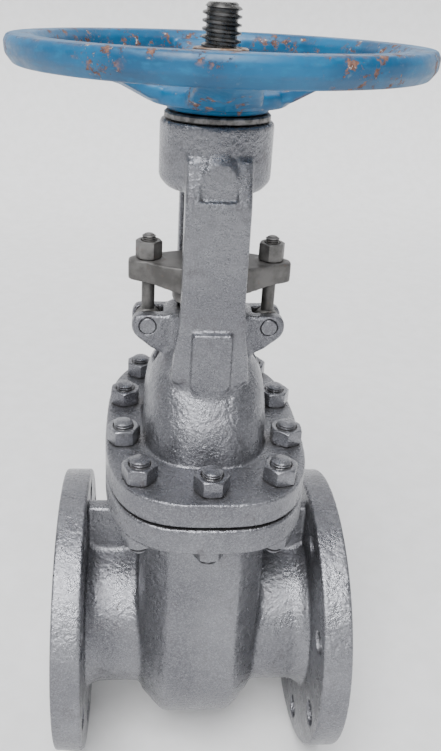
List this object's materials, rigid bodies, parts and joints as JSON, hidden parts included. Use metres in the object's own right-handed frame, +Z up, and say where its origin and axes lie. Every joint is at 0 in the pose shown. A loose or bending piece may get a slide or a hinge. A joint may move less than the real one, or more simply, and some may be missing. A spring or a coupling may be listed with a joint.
{
  "type": "gate valve",
  "caption": "Flanged cast-steel wedge gate valve with bolted bonnet, outside screw and yoke, rising stem and spoked handwheel.",
  "frame": {"origin": "where the flow axis crosses the stem axis, midway between the two pipe flange faces; the pipeline that holds the valve lies on this axis", "axes": "+Z up along the stem towards the handwheel, +X along the flow from the inlet flange to the outlet flange, -Y the side of the front yoke arm"},
  "size_m": [0.2786, 0.2786, 0.6041],
  "materials": {
    "shell_paint": "aluminium paint on rough cast steel",
    "bolting_paint": "steel bolting under the same aluminium paint",
    "seat_steel": "ground stainless steel",
    "wedge_steel": "cast steel wedge with ground faces",
    "stem_steel": "turned and greased stainless steel",
    "gasket": "graphite sheet",
    "packing": "pressed graphite rings",
    "bare_steel": "dark, lightly rusted steel",
    "bare_cast": "unpainted dark casting",
    "sleeve_metal": "bronze yoke sleeve, browned at its upper end",
    "wheel_paint": "blue paint with worn, rusty edges",
    "rusty_steel": "rusty steel"
  },
  "bodies": {
    "valve_body": {"body": "shell_paint", "bonnet": "shell_paint", "bonnet_gasket": "gasket", "seat_ring_inlet": "seat_steel", "seat_ring_outlet": "seat_steel", "backseat_bush": "seat_steel", "packing_set": "packing", "bonnet_stud_01": "bolting_paint", "bonnet_stud_02": "bolting_paint", "bonnet_stud_03": "bolting_paint", "bonnet_stud_04": "bolting_paint", "bonnet_stud_05": "bolting_paint", "bonnet_stud_06": "bolting_paint", "bonnet_stud_07": "bolting_paint", "bonnet_stud_08": "bolting_paint", "bonnet_stud_09": "bolting_paint", "bonnet_stud_10": "bolting_paint", "bonnet_nut_01": "bolting_paint", "bonnet_nut_02": "bolting_paint", "bonnet_nut_03": "bolting_paint", "bonnet_nut_04": "bolting_paint", "bonnet_nut_05": "bolting_paint", "bonnet_nut_06": "bolting_paint", "bonnet_nut_07": "bolting_paint", "bonnet_nut_08": "bolting_paint", "bonnet_nut_09": "bolting_paint", "bonnet_nut_10": "bolting_paint", "body_nut_01": "bolting_paint", "body_nut_02": "bolting_paint", "body_nut_03": "bolting_paint", "body_nut_04": "bolting_paint", "body_nut_05": "bolting_paint", "body_nut_06": "bolting_paint", "body_nut_07": "bolting_paint", "body_nut_08": "bolting_paint", "body_nut_09": "bolting_paint", "body_nut_10": "bolting_paint", "eyebolt_left": "bare_steel", "eyebolt_right": "bare_steel", "eyebolt_pin_left": "bolting_paint", "eyebolt_pin_right": "bolting_paint", "yoke_sleeve_retainer": "bare_steel"},
    "stem": {"stem": "stem_steel", "wedge": "wedge_steel"},
    "handwheel": {"handwheel": "wheel_paint", "yoke_sleeve": "sleeve_metal", "handwheel_key": "bare_steel", "handwheel_nut": "rusty_steel"},
    "gland": {"gland_flange": "bare_cast", "gland_follower": "bare_steel"},
    "gland_nut_left": {"gland_nut_left": "bare_steel"},
    "gland_nut_right": {"gland_nut_right": "bare_steel"}
  },
  "joints": [
    {"name": "handwheel_turn", "type": "hinge", "parent": "valve_body", "child": "handwheel", "pos_m": [0, 0, 0.45], "axis": [0, 0, 1], "range_deg": [0, 7920]},
    {"name": "stem_lift", "type": "slide", "parent": "valve_body", "child": "stem", "axis": [0, 0, 1], "range_m": [0, 0.11]},
    {"name": "gland_nut_left_turn", "type": "hinge", "parent": "gland", "child": "gland_nut_left", "pos_m": [-0.0446, 0, 0.322], "axis": [0, 0, 1], "range_deg": [-1440, 0]},
    {"name": "gland_nut_right_turn", "type": "hinge", "parent": "gland", "child": "gland_nut_right", "pos_m": [0.0446, 0, 0.322], "axis": [0, 0, 1], "range_deg": [-1440, 0]},
    {"name": "gland_slide", "type": "slide", "parent": "valve_body", "child": "gland", "axis": [0, 0, 1], "range_m": [-0.006, 0], "deforming": ["packing_set"]}
  ],
  "couplings": [
    {"joint": "stem_lift", "follows": "handwheel_turn", "m_per_rad": 0.00079577},
    {"joint": "gland_nut_left_turn", "follows": "gland_slide", "rad_per_m": 4188.8},
    {"joint": "gland_nut_right_turn", "follows": "gland_slide", "rad_per_m": 4188.8}
  ]
}
